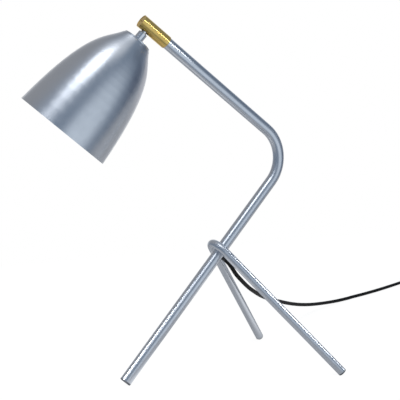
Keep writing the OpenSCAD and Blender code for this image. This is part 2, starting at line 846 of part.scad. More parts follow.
// Point out of the cord hole, in the part's own frame
function exit_point(out) = [
    exit_run * cos(stem_lean) + out * sin(stem_lean) - middle_x,
    0,
    stem_foot_z + exit_run * sin(stem_lean) - out * cos(stem_lean)
];

// Points along the cord from the grommet's nose to the switch, chosen by hand: it hangs
// between the legs, over the back leg, and then lies on the floor
cord_lies = cord_d / 2;
switch_entry = [720, 327];
cord_route = [
    exit_point(nose_end), exit_point(nose_end + cord_d),
    [95, 7, 131], [110, 15, 118.5], [127.5, 26.5, 106], [147, 40, 94.5], [168, 56, 83.5],
    [204, 84, 68], [251, 120, 51], [288.5, 148, 38], [325, 173, 27], [371.5, 201, 16],
    [415, 222.5, 9], [456, 239, 4.8], [504.5, 255.5, 2.8], [552.5, 268.5, 2.8],
    [605, 285, 2.8], [635, 295.5, 2.8], [665, 306.5, 2.8], [690, 316, 3], [702, 320.5, 5],
    [712, 324, 6.6], [switch_entry[0], switch_entry[1], switch_base_h]
];
// Heading of the cord into the switch, in degrees from X
heading = 20;
ahead = [cos(heading), sin(heading)];
aside = [sin(heading), -cos(heading)];

function unit(v) = v / norm(v);
function travel(p, i = 0, sum = 0) =
    i >= len(p) - 1 ? sum : travel(p, i + 1, sum + norm(p[i + 1] - p[i]));

// Direction of a smooth curve at one of its points, and the curve between two of them
function slope_at(p, i) = let (last = len(p) - 1)
    i == 0 ? unit(p[1] - p[0]) : i == last ? unit(p[last] - p[last - 1])
    : let (a = norm(p[i] - p[i - 1]), b = norm(p[i + 1] - p[i]))
        ((p[i + 1] - p[i]) * a / b + (p[i] - p[i - 1]) * b / a) / (a + b);
function between(p, i, t) = let (run = norm(p[i + 1] - p[i]), t2 = t * t, t3 = t * t * t)
    (2 * t3 - 3 * t2 + 1) * p[i] + (t3 - 2 * t2 + t) * run * slope_at(p, i)
    + (3 * t2 - 2 * t3) * p[i + 1] + (t3 - t2) * run * slope_at(p, i + 1);
function smooth(p, step) = concat(
    [for (i = [0:len(p) - 2]) let (n = max(1, round(norm(p[i + 1] - p[i]) / step)))
        for (k = [0:n - 1]) between(p, i, k / n)],
    [p[len(p) - 1]]);

// Tube of flat sides swept along points, its end rings square to the given directions
module swept_tube(path, diameter, sides, first_dir, last_dir) {
    n = len(path);
    flat_down = sides % 4 == 0 ? 0.5 : 0;
    dirs = [for (i = [0:n - 1]) i == 0 ? unit(first_dir) : i == n - 1 ? unit(last_dir)
        : unit(path[i + 1] - path[i - 1])];
    rings = [for (i = [0:n - 1])
        let (across = unit(cross(dirs[i], [0, 0, 1])), over = cross(across, dirs[i]))
        for (k = [0:sides - 1]) let (a = 360 * (k + flat_down) / sides)
            path[i] + diameter / 2 * (cos(a) * across + sin(a) * over)];
    walls = [for (i = [0:n - 2], k = [0:sides - 1]) let (
        a = i * sides + k, b = i * sides + (k + 1) % sides) each [
            [a, b, a + sides], [b, b + sides, a + sides]]];
    end = (n - 1) * sides;
    caps = [for (k = [1:sides - 2]) each [[0, k + 1, k], [end, end + k, end + k + 1]]];
    polyhedron(points = rings, faces = concat(walls, caps));
}

cord_sides = 8;
ring_step = 2.5 * cord_d;
lead_path = [for (p = smooth(cord_route, ring_step)) [p[0], p[1], max(p[2], cord_lies)]];

module cord_lead() {
    color("black") swept_tube(lead_path, cord_d, cord_sides,
        [sin(stem_lean), 0, -cos(stem_lean)], [ahead[0], ahead[1], 0]);
}

// The coil winds in on the floor, climbs as it turns back and winds out on top. Half a
// turn over leaves its end heading back beside its start.
coil_turns = 4.5;
coil_sides = 6;
rings_per_turn = 24;
coil_ease = 0.08;
switch_exit = [
    switch_entry[0] + (switch_len + 2 * bush_out) * ahead[0],
    switch_entry[1] + (switch_len + 2 * bush_out) * ahead[1]
];
coil_start = switch_exit + coil_lead * ahead;
coil_middle = coil_start + coil_outer_r * aside;

function coil_radius(u) = let (from_turn = u - coil_turns / 2)
    coil_outer_r - coil_pitch * (coil_turns / 2 - sqrt(pow(from_turn, 2) + pow(coil_ease, 2)));
function ease(t) = let (c = min(1, max(0, t))) c * c * (3 - 2 * c);
function coil_height(u) = cord_lies + coil_rise * ease(2 * (u - coil_turns / 2) + 0.5);
function coil_point(u) = let (angle = heading + 90 - 360 * u) [
    coil_middle[0] + coil_radius(u) * cos(angle),
    coil_middle[1] + coil_radius(u) * sin(angle),
    coil_height(u)
];
function on_floor(p, z) = [p[0], p[1], z];

coil_loops = [for (i = [0:coil_turns * rings_per_turn]) coil_point(i / rings_per_turn)];
coil_end = coil_loops[len(coil_loops) - 1];
plug_entry = [coil_end[0] - coil_tail * ahead[0], coil_end[1] - coil_tail * ahead[1]];
coil_path = concat(
    [for (out = [0, cord_d, 2 * cord_d, coil_lead / 2, coil_lead - 2 * cord_d])
        on_floor(switch_exit + out * ahead,
            cord_lies + (switch_base_h - cord_lies)
                * (1 - ease((out - cord_d) / (coil_lead - 3 * cord_d))))],
    coil_loops,
    [for (out = [coil_tail - cord_d, 0])
        on_floor(plug_entry + out * ahead, plug_t / 2)]
);
loop_start = len(coil_path) - len(coil_loops) - 2;
coil_gap = min([for (i = [loop_start:loop_start + len(coil_loops) - 1])
    for (j = [i + rings_per_turn / 2:loop_start + len(coil_loops) - 1])
        norm(coil_path[i] - coil_path[j])]) - cord_d;
echo(coil_gap = coil_gap, lead_length = travel(lead_path), coil_length = travel(coil_path),
    lead_rings = len(lead_path), coil_rings = len(coil_path));

module cord_coil() {
    color("black") swept_tube(coil_path, cord_d, coil_sides,
        [ahead[0], ahead[1], 0], [-ahead[0], -ahead[1], 0]);
}

// ---------------------------------------------------------------- switch

shell_from = bush_out;
shell_to = bush_out + switch_len;
pivot_x = (shell_from + shell_to) / 2;
pivot_z = switch_base_h + switch_cover_h - rocker_end_h + fit;
cover_top = switch_base_h + switch_cover_h;
window_gap = 0.3;
lug_w = 2;
lug_len = 8;
boss_d = 7.4;
boss_x = 9;
boss_y = 6;
screw_head_t = 1.6;

// Switch's frame: X along the cord, Z up from the floor
module switch_frame(x = 0, y = 0, z = 0) {
    translate([switch_entry[0], switch_entry[1], 0]) rotate([0, 0, heading])
        translate([x, y, z]) children();
}

// The two screw places, at opposite corners
module at_screws(z) {
    switch_frame(shell_from + boss_x, boss_y, z) children();
    switch_frame(shell_to - boss_x, -boss_y, z) children();
}

// Round holes for the bushes, on the line where the shells meet
module bush_holes() {
    switch_frame(0, 0, switch_base_h) rotate([0, 90, 0])
        cylinder(d = switch_bush_d + 2 * fit, h = 2 * bush_out + switch_len);
}

module shell_cavity(z, height) {
    switch_frame(shell_from + switch_wall, 0, z) rounded_plate(
        switch_len - 2 * switch_wall, switch_w - 2 * switch_wall,
        switch_round - switch_wall, height);
}

module switch_base() {
    color("dimgray") difference() {
        union() {
            difference() {
                switch_frame(shell_from)
                    rounded_plate(switch_len, switch_w, switch_round, switch_base_h);
                shell_cavity(switch_wall, switch_base_h);
            }
            at_screws(0) cylinder(d = boss_d, h = switch_base_h);
        }
        at_screws(-past) cylinder(d = screw_d + 2 * fit, h = switch_base_h + 2 * past);
        at_screws(-past) cylinder(d = screw_head_d + 2 * fit, h = 2 * screw_head_t + past);
        bush_holes();
    }
}

module switch_cover() {
    lug_y = rocker_w / 2 + window_gap;
    lug_bottom = pivot_z - rocker_pin_d;
    color("dimgray") difference() {
        union() {
            difference() {
                switch_frame(shell_from, 0, switch_base_h)
                    rounded_plate(switch_len, switch_w, switch_round, switch_cover_h);
                shell_cavity(switch_base_h - past, switch_cover_h - switch_wall + past);
            }
            at_screws(switch_base_h) cylinder(d = boss_d, h = switch_cover_h - switch_wall / 2);
            for (y = [-lug_y - lug_w, lug_y])
                switch_frame(pivot_x - lug_len / 2, y, lug_bottom)
                    cube([lug_len, lug_w, cover_top - switch_wall / 2 - lug_bottom]);
        }
        at_screws(switch_base_h - past)
            cylinder(d = screw_d + 2 * fit, h = switch_cover_h - switch_wall);
        switch_frame(pivot_x - rocker_len / 2 - 2 * window_gap, -lug_y, lug_bottom)
            cube([rocker_len + 4 * window_gap, 2 * lug_y, switch_cover_h]);
        switch_frame(pivot_x, switch_w / 2 - switch_wall, pivot_z) rotate([90, 0, 0])
            cylinder(d = rocker_pin_d + 2 * fit, h = switch_w - 2 * switch_wall);
        bush_holes();
    }
}

module switch_rocker() {
    half = rocker_len / 2;
    pins = rocker_w + 2 * (window_gap + lug_w);
    color("black") switch_frame(pivot_x, 0, pivot_z) rotate([0, rocker_tilt, 0]) union() {
        translate([0, rocker_w / 2, 0]) rotate([90, 0, 0]) linear_extrude(rocker_w) polygon([
            [-half, -rocker_pin_d / 2], [-half, rocker_end_h], [0, rocker_mid_h],
            [half, rocker_end_h], [half, -rocker_pin_d / 2],
            [rocker_body, -rocker_body], [-rocker_body, -rocker_body]
        ]);
        translate([0, pins / 2, 0]) rotate([90, 0, 0]) cylinder(d = rocker_pin_d, h = pins);
    }
}

contact_x = 12;
post_len = 5;
post_w = 6;
post_h = 3.6;

module switch_contacts() {
    color("gold") for (x = [pivot_x - contact_x, pivot_x + contact_x - post_len])
        switch_frame(x, -post_w / 2, switch_wall) cube([post_len, post_w, post_h]);
}

// Bush moulded on the cord at each end of the switch
module switch_bushes() {
    flange_t = 2;
    flange_d = switch_bush_d + flange_t;
    color("black") for (end = [0, 1])
        switch_frame(end * (2 * bush_out + switch_len), 0, switch_base_h)
            mirror([end, 0, 0]) rotate([0, 90, 0]) union() {
                cylinder(d1 = cord_d + 2 * fit, d2 = switch_bush_d, h = bush_out);
                translate([0, 0, bush_out]) cylinder(d = switch_bush_d, h = switch_wall);
                translate([0, 0, bush_out + switch_wall]) cylinder(d = flange_d, h = flange_t);
            }
}

module switch_screws() {
    color("silver") {
        at_screws(screw_head_t) cylinder(d = screw_head_d, h = screw_head_t);
        at_screws(2 * screw_head_t)
            cylinder(d = screw_d, h = cover_top - 2 * switch_wall - 2 * screw_head_t);
    }
}

// ---------------------------------------------------------------- plug

relief_lap = 2;
body_from = relief_len - relief_lap;
body_to = body_from + plug_len;
body_step_w = 4;
body_step_t = 0.6;
body_neck_w = relief_d + body_step_w;
body_neck_t = relief_d + body_step_t;
body_shoulder = 14;
pin_metal_d = pin_d - 2 * pin_sleeve_wall;

// Plug's frame: X from the cord towards the pins, Z up from the middle of its thickness
module plug_frame(x = 0, y = 0) {
    translate([plug_entry[0], plug_entry[1], plug_t / 2]) rotate([0, 0, heading + 180])
        translate([x, y, 0]) children();
}

module at_pins(x) {
    for (side = [-1, 1]) plug_frame(x, side * pin_pitch / 2) rotate([0, 90, 0]) children();
}

// Outline of the plug's body along X, from a neck to its full width
module body_outline(neck, full) {
    polygon([
        [body_from, -neck / 2], [body_from + body_shoulder, -full / 2], [body_to, -full / 2],
        [body_to, full / 2], [body_from + body_shoulder, full / 2], [body_from, neck / 2]
    ]);
}

module plug_body() {
    color("black") difference() {
        union() {
            intersection() {
                plug_frame() translate([0, 0, -plug_t / 2]) linear_extrude(plug_t)
                    body_outline(body_neck_w, plug_w);
                plug_frame(0, plug_w / 2) rotate([90, 0, 0]) linear_extrude(plug_w)
                    body_outline(body_neck_t, plug_t);
            }
            plug_frame() rotate([0, 90, 0])
                cylinder(d1 = cord_d + 2 * fit, d2 = relief_d, h = relief_len);
        }
        at_pins(body_to - pin_root) cylinder(d = pin_metal_d + 2 * fit, h = pin_root + past);
    }
}

module plug_pins() {
    neck = pin_root + pin_sleeve_len;
    color("gold") {
        at_pins(body_to - pin_root) cylinder(d = pin_metal_d, h = neck + past);
        at_pins(body_to + pin_sleeve_len)
            cylinder(d = pin_d, h = pin_len - pin_sleeve_len - pin_d / 2);
        at_pins(body_to + pin_len - pin_d / 2) sphere(d = pin_d);
    }
}

module pin_sleeves() {
    color("black") at_pins(body_to)
        ring(pin_d, pin_metal_d + 2 * fit, pin_sleeve_len);
}

// ---------------------------------------------------------------- what is drawn

stem_tube();
leg_hairpin();
leg_weld();
stem_foot_plug();
leg_foot_plugs();
cord_grommet();
stem_leads();
arm_bush();
brass_sleeve();
sleeve_end_cap();
ball_seat_outer();
ball_seat_inner();
spring_washer();
joint_ball();
head_stud();
neck_spacer();
shade();
shade_washer();
lock_nut();
holder_cap();
holder_skirt();
terminal_block();
terminal_screws();
screw_shell();
contact_tongue();
head_leads();
bulb_cap();
bulb_insulator();
bulb_contact();
bulb_collar();
bulb_globe();
cord_lead();
cord_coil();
switch_base();
switch_cover();
switch_rocker();
switch_contacts();
switch_bushes();
switch_screws();
plug_body();
plug_pins();
pin_sleeves();
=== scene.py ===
"""Looks of a tripod table lamp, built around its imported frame.

One bent tube is the front leg, the stem and the arm, and a hairpin of thinner tube makes the
rear legs. A brass sleeve on the arm carries a spun shade. Metres, +Z up, origin on the floor.
"""

import json
import logging
import math
from dataclasses import dataclass, field
from enum import Enum
from typing import Protocol, Sequence

import bmesh
import bpy
from mathutils import Matrix, Quaternion, Vector


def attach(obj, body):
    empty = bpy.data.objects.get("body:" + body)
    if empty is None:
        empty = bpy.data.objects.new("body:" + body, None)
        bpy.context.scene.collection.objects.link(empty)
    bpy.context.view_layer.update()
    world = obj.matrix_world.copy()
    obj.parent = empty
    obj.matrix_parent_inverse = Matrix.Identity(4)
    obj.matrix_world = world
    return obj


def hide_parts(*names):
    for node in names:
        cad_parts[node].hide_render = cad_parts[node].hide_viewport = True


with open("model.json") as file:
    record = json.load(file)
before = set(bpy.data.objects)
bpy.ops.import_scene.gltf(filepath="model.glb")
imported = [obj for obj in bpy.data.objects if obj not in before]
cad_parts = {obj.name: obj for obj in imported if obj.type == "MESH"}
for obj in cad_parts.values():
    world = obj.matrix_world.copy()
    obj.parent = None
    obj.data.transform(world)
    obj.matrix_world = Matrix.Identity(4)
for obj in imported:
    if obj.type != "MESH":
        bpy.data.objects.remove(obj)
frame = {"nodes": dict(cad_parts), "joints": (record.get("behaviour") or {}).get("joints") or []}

LOG = logging.getLogger("lamp")
MM = 0.001
TURN = 2 * math.pi
NOISE_RANGE = (0.35, 0.65)
SIDE = Vector((0, 1, 0))
Colour = tuple[float, float, float]
Point = tuple[float, float]


# ------------------------------------------------------------------ lines and places


@dataclass(frozen=True)
class Line:
    """A straight axis that pieces are set on.

    Args:
        start: point where travel along the line is 0.
        along: unit direction of the line.
        side: unit direction square to it, the X of what is set on the line.
    """

    start: Vector
    along: Vector
    side: Vector

    def at(self, travel: float) -> Vector:
        """Point at a distance along the line."""
        return self.start + self.along * travel

    def matrix(self, travel: float = 0.0) -> Matrix:
        """Matrix that sets Z along the line and X to its side, at a distance along it."""
        third = self.along.cross(self.side)
        turn = Matrix((self.side, third, self.along)).transposed().to_4x4()
        return Matrix.Translation(self.at(travel)) @ turn


@dataclass(frozen=True)
class Bend:
    """Run of a tube that turns from one direction to another.

    Args:
        first: direction before the bend.
        last: direction after the bend.
        middle: point level with the middle of the bend.
        half: distance from there to where each straight starts.
    """

    first: Vector
    last: Vector
    middle: Vector
    half: float

    def across(self) -> Vector:
        """Direction in which one straight goes over into the other."""
        return (self.last + self.first).normalized()


@dataclass(frozen=True)
class LampLines:
    """The lamp's main axes, worked out from its joints and a few driving sizes."""

    stem_lean: float = math.radians(48.4)
    stem_run: float = 0.401
    stem_bend_r: float = 0.050
    arm_run: float = 0.295
    pivot_inset: float = 0.0124
    hairpin_dip: float = math.radians(90 - 48.4 + 9)
    leg_splay: float = math.radians(22.2)
    leg_bend_r: float = 0.018

    def joint(self, name: str) -> tuple[Vector, Vector]:
        """Place and unit axis of a joint of the frame."""
        found = next(j for j in frame["joints"] if j["name"] == name)
        return Vector(found["pos_m"]), Vector(found["axis"]).normalized()

    def arm(self) -> Line:
        """Line down the arm, from the sleeve's free end."""
        ball, up_arm = self.joint("head_swivel")
        return Line(ball + up_arm * self.pivot_inset, -up_arm, SIDE)

    def corner(self) -> Vector:
        """Point where the stem's and the arm's axes meet."""
        return self.arm().at(self.arm_run)

    def stem(self) -> Line:
        """Line up the stem from its foot, with its underside as the side."""
        lean = self.stem_lean
        up = Vector((math.cos(lean), 0, math.sin(lean)))
        under = Vector((math.sin(lean), 0, -math.cos(lean)))
        return Line(self.corner() - up * self.stem_run, up, under)

    def head(self) -> Line:
        """Line down the shade's axis from the middle of the ball."""
        ball, down = self.joint("shade_spin")
        _, tilt_axis = self.joint("shade_tilt")
        side = (tilt_axis - down * tilt_axis.dot(down)).normalized()
        return Line(ball, down, side)

    def sleeve(self) -> Line:
        """Line down the sleeve from its free end, with its slot as the side."""
        arm = self.arm()
        down = self.head().along
        slot = (down - arm.along * down.dot(arm.along)).normalized()
        return Line(arm.start, arm.along, slot)

    def stem_bend(self) -> Bend:
        """Run of the stem tube from its foot to the end of the arm."""
        up, out = self.stem().along, -self.arm().along
        return Bend(up, out, self.corner(), self.stem_bend_r * math.sin(up.angle(out) / 2))

    def hairpin_bend(self) -> Bend:
        """Run of the hairpin up one rear leg and down the other."""
        dip, splay = self.hairpin_dip, self.leg_splay
        legs = [Vector((math.cos(splay) * math.cos(dip), side * math.sin(splay),
                        -math.cos(splay) * math.sin(dip))) for side in (-1, 1)]
        return Bend(-legs[0], legs[1], Vector((0, 0, 0)), self.leg_bend_r * math.cos(splay))

    def straight(self, direction: Vector) -> Bend:
        """Run of a piece that doesn't bend."""
        return Bend(direction, direction, Vector((0, 0, 0)), 1.0)


LINES = LampLines()


# ------------------------------------------------------------------ finishes


class Nodes:
    """A material's node tree, with short calls for the nodes that the finishes share."""

    def __init__(self, name: str) -> None:
        """Starts a material with a Principled shader."""
        self.material = bpy.data.materials.new(name + "_finish")
        self.material.use_nodes = True
        self.tree = self.material.node_tree
        self.shader = self.tree.nodes["Principled BSDF"]
        self.place = self.tree.nodes.new("ShaderNodeTexCoord").outputs["Object"]

    def set(self, **values: object) -> None:
        """Sets the shader's own sockets, with underscores for the spaces in their names."""
        for name, value in values.items():
            self.shader.inputs[name.replace("_", " ")].default_value = value

    def link(self, source: bpy.types.NodeSocket, target: str) -> None:
        """Links a socket to one of the shader's inputs."""
        self.tree.links.new(source, self.shader.inputs[target])

    def mapped(self, line: Line, stretch: Vector) -> bpy.types.NodeSocket:
        """Object coordinates turned to a line, with Z along it, and stretched.

        Args:
            line: the line whose direction becomes Z.
            stretch: factors on the turned coordinates.

        Returns:
            The socket that gives the turned coordinates.
        """
        back = line.matrix().inverted()
        turned = self.tree.nodes.new("ShaderNodeMapping")
        turned.inputs["Location"].default_value = back.to_translation()
        turned.inputs["Rotation"].default_value = back.to_euler("XYZ")
        self.tree.links.new(self.place, turned.inputs["Vector"])
        scaled = self.tree.nodes.new("ShaderNodeMapping")
        scaled.inputs["Scale"].default_value = stretch
        self.tree.links.new(turned.outputs["Vector"], scaled.inputs["Vector"])
        return scaled.outputs["Vector"]

    def streaked(self, run: Bend, stretch: float) -> None:
        """Draws the gloss out along a run, as fine rings round it do.

        Args:
            run: the directions that the gloss follows.
            stretch: how far it is drawn out, from 0 to 1.
        """
        shift = self.tree.nodes.new("ShaderNodeVectorMath")
        shift.operation = "SUBTRACT"
        shift.inputs[1].default_value = run.middle
        self.tree.links.new(self.place, shift.inputs[0])
        over = self.tree.nodes.new("ShaderNodeVectorMath")
        over.operation = "DOT_PRODUCT"
        over.inputs[1].default_value = run.across()
        self.tree.links.new(shift.outputs["Vector"], over.inputs[0])
        part = self.tree.nodes.new("ShaderNodeMapRange")
        part.inputs["From Min"].default_value = -run.half
        part.inputs["From Max"].default_value = run.half
        self.tree.links.new(over.outputs["Value"], part.inputs["Value"])
        mix = self.tree.nodes.new("ShaderNodeMix")
        mix.data_type = "VECTOR"
        mix.inputs["A"].default_value = run.first
        mix.inputs["B"].default_value = run.last
        self.tree.links.new(part.outputs["Result"], mix.inputs["Factor"])
        turned = self.tree.nodes.new("ShaderNodeVectorTransform")
        turned.vector_type, turned.convert_from, turned.convert_to = "VECTOR", "OBJECT", "WORLD"
        self.tree.links.new(mix.outputs["Result"], turned.inputs["Vector"])
        self.link(turned.outputs["Vector"], "Tangent")
        self.set(Anisotropic=stretch)

    def noise(self, size: float, detail: float = 2.0,
              where: bpy.types.NodeSocket | None = None) -> bpy.types.NodeSocket:
        """Noise whose lumps are about a size across, as a value near 0.5."""
        node = self.tree.nodes.new("ShaderNodeTexNoise")
        node.inputs["Scale"].default_value = 1 / size
        node.inputs["Detail"].default_value = detail
        self.tree.links.new(where or self.place, node.inputs["Vector"])
        return node.outputs["Fac"]

    def ramp(self, value: bpy.types.NodeSocket, low: Colour, high: Colour,
             ends: tuple[float, float] = NOISE_RANGE) -> bpy.types.NodeSocket:
        """Colours from low to high as a value goes from one end to the other."""
        node = self.tree.nodes.new("ShaderNodeValToRGB")
        node.color_ramp.elements[0].position = ends[0]
        node.color_ramp.elements[0].color = (*low, 1)
        node.color_ramp.elements[1].position = ends[1]
        node.color_ramp.elements[1].color = (*high, 1)
        self.tree.links.new(value, node.inputs["Fac"])
        return node.outputs["Color"]

    def spread(self, value: bpy.types.NodeSocket, low: float, high: float) -> bpy.types.NodeSocket:
        """The usual range of noise, spread from low to high."""
        node = self.tree.nodes.new("ShaderNodeMapRange")
        for name, number in zip(("From Min", "From Max", "To Min", "To Max"),
                                (*NOISE_RANGE, low, high)):
            node.inputs[name].default_value = number
        self.tree.links.new(value, node.inputs["Value"])
        return node.outputs["Result"]

    def bump(self, height: bpy.types.NodeSocket, depth: float, strength: float,
             under: bpy.types.NodeSocket | None = None) -> bpy.types.NodeSocket:
        """Bump of a depth in metres, laid over another one if given."""
        node = self.tree.nodes.new("ShaderNodeBump")
        node.inputs["Strength"].default_value = strength
        node.inputs["Distance"].default_value = depth
        self.tree.links.new(height, node.inputs["Height"])
        if under is not None:
            self.tree.links.new(under, node.inputs["Normal"])
        return node.outputs["Normal"]


class Finish(Protocol):
    """What a piece is dressed in."""

    def material(self) -> bpy.types.Material:
        """The finish's Blender material."""


def tinted(colour: Colour, factor: float) -> Colour:
    """A colour made lighter or darker by a factor."""
    return tuple(min(1.0, part * factor) for part in colour)


@dataclass(frozen=True)
class SatinMetal:
    """Fine satin metal, with a grain that runs round the line it was turned on.

    Args:
        name: the material's name.
        colour: the metal's colour.
        line: axis that the grain runs round.
        run: directions that the gloss is drawn out along.
        roughness: middle of the surface's roughness.
        grain: width of one line of the grain.
        score: how strongly the grain and the dust show.
        stretch: how far the gloss is drawn out.
        depth: depth of the grain and the dust.
        dust: size of the dusting of grain.
        cloud: size of the clouds in the colour.
        blur: size of the patches in the roughness.
        uneven: how far the roughness goes to each side of its middle.
        ring_draw: factors that draw noise out into rings round the line.
    """

    name: str
    colour: Colour
    line: Line
    run: Bend
    roughness: float = 0.3
    grain: float = 0.25 * MM
    score: float = 0.006
    stretch: float = 0.6
    depth: float = 0.003 * MM
    dust: float = 0.3 * MM
    cloud: float = 26 * MM
    blur: float = 7 * MM
    uneven: float = 0.025
    ring_draw: Colour = (0.04, 0.04, 1.0)

    def material(self) -> bpy.types.Material:
        """Metal with a faint cloudiness, a run of fine rings and a dusting of grain."""
        nodes = Nodes(self.name)
        nodes.set(Metallic=1.0)
        nodes.streaked(self.run, self.stretch)
        cloud = nodes.noise(self.cloud, 3.0)
        nodes.link(nodes.ramp(cloud, tinted(self.colour, 0.97), self.colour), "Base Color")
        rings = nodes.mapped(self.line, Vector(self.ring_draw))
        run = nodes.noise(self.grain, 2.0, rings)
        blur = nodes.noise(self.blur, 4.0)
        nodes.link(nodes.spread(blur, self.roughness - self.uneven, self.roughness + self.uneven),
                   "Roughness")
        dust = nodes.bump(nodes.noise(self.dust, 1.0), self.depth, self.score)
        nodes.link(nodes.bump(run, self.depth, self.score, dust), "Normal")
        return nodes.material


@dataclass(frozen=True)
class PolishedBrass:
    """Polished brass with hairline rings and a faint warm tarnish.

    Args:
        name: the material's name.
        line: axis that the hairlines run round.
        colour: the brass's colour.
        roughness: middle of the surface's roughness.
        stretch: how far the gloss is drawn out along the line.
        dulling: factors that tarnish puts on the colour.
        tarnish: size of the patches of tarnish.
        polish: size of the patches in the roughness.
        uneven: how far the roughness goes to each side of its middle.
        hairline: width of one hairline.
        depth: depth of the hairlines.
        score: how strongly the hairlines show.
        ring_draw: factors that draw noise out into rings round the line.
    """

    name: str
    line: Line
    colour: Colour = (0.84, 0.60, 0.2)
    roughness: float = 0.3
    stretch: float = 0.95
    dulling: Colour = (0.92, 0.88, 0.8)
    tarnish: float = 9 * MM
    polish: float = 4 * MM
    uneven: float = 0.02
    hairline: float = 0.2 * MM
    depth: float = 0.002 * MM
    score: float = 0.012
    ring_draw: Colour = (0.03, 0.03, 1.0)

    def material(self) -> bpy.types.Material:
        """Brass whose tarnish, polish and hairlines vary a little."""
        nodes = Nodes(self.name)
        nodes.set(Metallic=1.0)
        nodes.streaked(LINES.straight(self.line.along), self.stretch)
        tarnish = nodes.noise(self.tarnish, 4.0)
        dull = tuple(part * factor for part, factor in zip(self.colour, self.dulling))
        nodes.link(nodes.ramp(tarnish, dull, self.colour), "Base Color")
        polish = nodes.noise(self.polish, 3.0)
        nodes.link(nodes.spread(polish, self.roughness - self.uneven,
                                self.roughness + self.uneven), "Roughness")
        rings = nodes.mapped(self.line, Vector(self.ring_draw))
        nodes.link(nodes.bump(nodes.noise(self.hairline, 3.0, rings), self.depth, self.score),
                   "Normal")
        return nodes.material


@dataclass(frozen=True)
class Moulded:
    """Moulded plastic or rubber with a fine spark-eroded grain.

    Args:
        name: the material's name.
        colour: the plastic's colour.
        roughness: middle of the surface's roughness.
        grain: size of the mould's texture.
        depth: depth of the texture.
        gloss: strength of its mirrored light, 0.5 for plain plastic.
    """

    name: str
    colour: Colour
    roughness: float = 0.45
    grain: float = 0.35 * MM
    depth: float = 0.02 * MM
    gloss: float = 0.5

    def material(self) -> bpy.types.Material:
        """Plastic with handling marks in its gloss and a grain from its mould."""
        nodes = Nodes(self.name)
        nodes.set(IOR=1.5, Specular_IOR_Level=self.gloss)
        fade = nodes.noise(14 * MM, 3.0)
        nodes.link(nodes.ramp(fade, tinted(self.colour, 0.85), tinted(self.colour, 1.1)),
                   "Base Color")
        marks = nodes.noise(5 * MM, 4.0)
        nodes.link(nodes.spread(marks, self.roughness - 0.05, self.roughness + 0.06), "Roughness")
        nodes.link(nodes.bump(nodes.noise(self.grain, 2.0), self.depth, 0.5), "Normal")
        return nodes.material


@dataclass(frozen=True)
class Glazed:
    """Glazed ceramic or opal glass, smooth with a slight unevenness.

    Args:
        name: the material's name.
        colour: the body's colour.
        milk: share of light that passes into the body.
        roughness: the glaze's roughness.
    """

    name: str
    colour: Colour
    milk: float = 0.0
    roughness: float = 0.18

    def material(self) -> bpy.types.Material:
        """Glaze over a body that scatters a little light."""
        nodes = Nodes(self.name)
        nodes.set(IOR=1.5, Coat_Weight=0.5, Coat_Roughness=0.05, Subsurface_Weight=self.milk,
                  Subsurface_Radius=(0.004, 0.004, 0.0035))
        body = nodes.noise(18 * MM, 2.0)
        nodes.link(nodes.ramp(body, tinted(self.colour, 0.96), self.colour), "Base Color")
        gloss = nodes.noise(6 * MM, 3.0)
        nodes.link(nodes.spread(gloss, self.roughness - 0.04, self.roughness + 0.04), "Roughness")
        nodes.link(nodes.bump(nodes.noise(4 * MM, 1.0), 0.05 * MM, 0.3), "Normal")
        return nodes.material


SILVER: Colour = (0.60, 0.635, 0.69)
BLACK: Colour = (0.012, 0.012, 0.013)


COATS: dict["Stock", bpy.types.Material] = {}


class Stock(Enum):
    """The finishes that the lamp is made in."""

    STEM = SatinMetal("satin_stem", SILVER, LINES.stem(), LINES.stem_bend(), 0.32)
    LEGS = SatinMetal("satin_legs", SILVER, LINES.stem(), LINES.hairpin_bend(), 0.32)
    SHADE = SatinMetal("satin_shade", SILVER, LINES.head(), LINES.straight(LINES.head().along),
                       0.34)
    NECK = SatinMetal("satin_neck", SILVER, LINES.head(), LINES.straight(LINES.head().along),
                      0.2)
    STEEL = SatinMetal("turned_steel", (0.6, 0.6, 0.6), LINES.head(),
                       LINES.straight(LINES.head().along), 0.24)
    BRASS = PolishedBrass("polished_brass", LINES.sleeve())
    CONTACT = PolishedBrass("contact_brass", LINES.head(), (0.75, 0.58, 0.28))
    FOOT = Moulded("foot_plastic", (0.2, 0.21, 0.23), 0.5)
    PALE = Moulded("pale_nylon", (0.8, 0.8, 0.76), 0.4)
    BLACK = Moulded("black_plastic", BLACK, 0.42)
    CORD = Moulded("cord_rubber", (0.003, 0.003, 0.0033), 0.6, 0.5 * MM, gloss=0.22)
    WIRE = Moulded("wire_sheath", (0.22, 0.09, 0.04), 0.4)
    CERAMIC = Glazed("white_glaze", (0.86, 0.85, 0.82))
    OPAL = Glazed("opal_glass", (0.93, 0.92, 0.9), 0.4, 0.12)
    INSULATOR = Glazed("black_glass", (0.02, 0.02, 0.03))

    def coat(self) -> bpy.types.Material:
        """The finish's material, made once."""
        if self not in COATS:
            COATS[self] = self.value.material()
        return COATS[self]


# ------------------------------------------------------------------ dressing the solids


def dressed(stock: Stock, *names: str) -> None:
    """Gives nodes that stay as they are their finish."""
    for name in names:
        obj = frame["nodes"][name]
        obj.data.materials.clear()
        obj.data.materials.append(stock.coat())
        LOG.info("%s is dressed in %s", name, stock.value.name)


# ------------------------------------------------------------------ camera and studio


